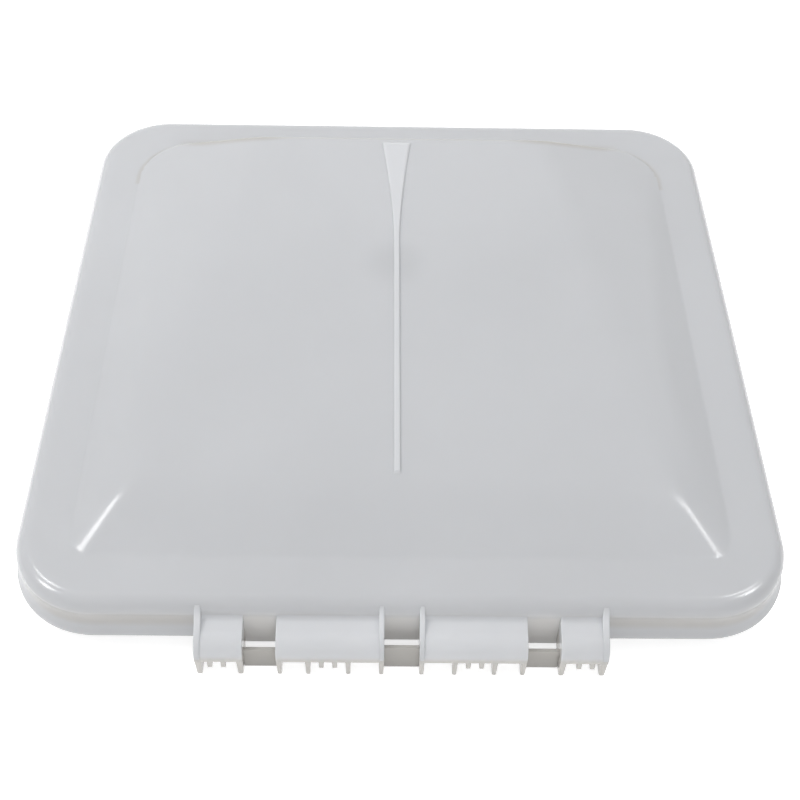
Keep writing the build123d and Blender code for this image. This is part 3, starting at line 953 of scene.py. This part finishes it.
def makeFloor():
    # a large square just under the object, white where it is seen directly
    mesh = bpy.data.meshes.new("floor")
    h = stageLook["floorSize"] / 2
    z = stageLook["floorLevel"]
    mesh.from_pydata([(-h, -h, z), (h, -h, z), (h, h, z), (-h, h, z)], [], [(0, 1, 2, 3)])
    floor = bpy.data.objects.new("floor", mesh)
    bpy.context.scene.collection.objects.link(floor)
    material, nodes, links, shader = newMaterial("floorPaper")
    shader.inputs["Base Color"].default_value = stageLook["floorColour"]
    shader.inputs["Roughness"].default_value = stageLook["floorRoughness"]
    glow = nodes.new("ShaderNodeMath")
    glow.operation = "MULTIPLY"
    glow.inputs[1].default_value = stageLook["floorGlow"]
    links.new(seenDirectly(nodes, links), glow.inputs[0])
    shader.inputs["Emission Color"].default_value = (1, 1, 1, 1)
    links.new(glow.outputs[0], shader.inputs["Emission Strength"])
    mesh.materials.append(material)


makeFloor()
world = bpy.data.worlds.new("studio")
bpy.context.scene.world = world
world.use_nodes = True
nodes, links = world.node_tree.nodes, world.node_tree.links
background = nodes["Background"]
background.inputs["Color"].default_value = (1, 1, 1, 1)
seen = seenDirectly(nodes, links)
strength = mapped(nodes, links, seen, toRange=(stageLook["world"], stageLook["white"]))
links.new(strength, background.inputs["Strength"])

# place and aim in metres, size in metres, power in watts
lamps = {
    "key": {"place": (-0.85, 0.25, 1.2), "aim": (0, 0.05, 0), "size": 0.8, "power": 6.5},
    "front": {"place": (0.05, -1.5, 0.6), "aim": (0, -0.18, 0), "size": 0.7, "power": 3.6},
    "back": {"place": (0.05, 0.47, 0.6), "aim": (0, 0.1, 0), "size": 0.5, "power": 0.65},
    "leftGlint": {
        "place": (-0.735, 0.187, 1.135), "aim": (-0.13, -0.14, 0.02), "size": 0.23, "power": 1.9,
    },
    "rightGlint": {
        "place": (0.66, 0.14, 1.175), "aim": (0.13, -0.14, 0.02), "size": 0.22, "power": 1.5,
    },
    "leftRim": {
        "place": (-1.128, -0.339, 1.027), "aim": (-0.17, -0.17, 0.02), "size": 0.34, "power": 5.2,
    },
    "rightRim": {
        "place": (0.991, -0.227, 1.153), "aim": (0.17, -0.17, 0.02), "size": 0.34, "power": 5.0,
    },
}


def aimed(place, aim):
    # the turn and place of a lamp whose -Z axis points from its place to its aim
    back = np.array(place, float) - np.array(aim, float)
    back /= np.linalg.norm(back)
    right = np.cross((0, 1, 0) if abs(back[2]) > 0.99 else (0, 0, 1), back)
    right /= np.linalg.norm(right)
    up = np.cross(back, right)
    turn = Matrix(np.column_stack([right, up, back]).tolist()).to_4x4()
    turn.translation = place
    return turn


for name, lamp in lamps.items():
    light = bpy.data.lights.new(name, "AREA")
    light.size = lamp["size"]
    light.energy = lamp["power"]
    holder = bpy.data.objects.new(name, light)
    bpy.context.scene.collection.objects.link(holder)
    holder.matrix_world = aimed(lamp["place"], lamp["aim"])
    holder.visible_diffuse = "Rim" not in name  # the rim lamps only make the corners shine
    holder.visible_glossy = "Rim" in name or "Glint" in name

# angles in degrees, lengths in mm, focal length in pixels of the 800 x 800 frame
cameraView = {
    "pitch": 49.315,
    "yaw": -1.471,
    "roll": 1.649,
    "distance": 729.232,
    "target": (-0.164, -35.841, 0),
    "focal": 1297.926,
    "frame": 800,
    "sensor": 36,
}


def makeCamera():
    # the camera looks at the target from a pitch above the floor, turned by yaw and roll
    pitch, yaw, roll = (np.radians(cameraView[k]) for k in ("pitch", "yaw", "roll"))
    back = np.array([np.sin(yaw) * np.cos(pitch), -np.cos(yaw) * np.cos(pitch), np.sin(pitch)])
    right = np.array([np.cos(yaw), np.sin(yaw), 0])
    up = np.cross(back, right)
    right, up = np.cos(roll) * right + np.sin(roll) * up, -np.sin(roll) * right + np.cos(roll) * up
    place = np.array(cameraView["target"]) + back * cameraView["distance"]
    camera = bpy.data.cameras.new("camera")
    camera.sensor_width = cameraView["sensor"]
    camera.lens = cameraView["focal"] * cameraView["sensor"] / cameraView["frame"]
    camera.clip_start = 0.01
    holder = bpy.data.objects.new("camera", camera)
    turn = Matrix(np.column_stack([right, up, back]).tolist()).to_4x4()
    turn.translation = (place * mm).tolist()
    holder.matrix_world = turn
    bpy.context.scene.collection.objects.link(holder)
    bpy.context.scene.camera = holder


makeCamera()
bpy.context.scene.view_settings.view_transform = "Standard"
print("stage: floor, light and camera made")
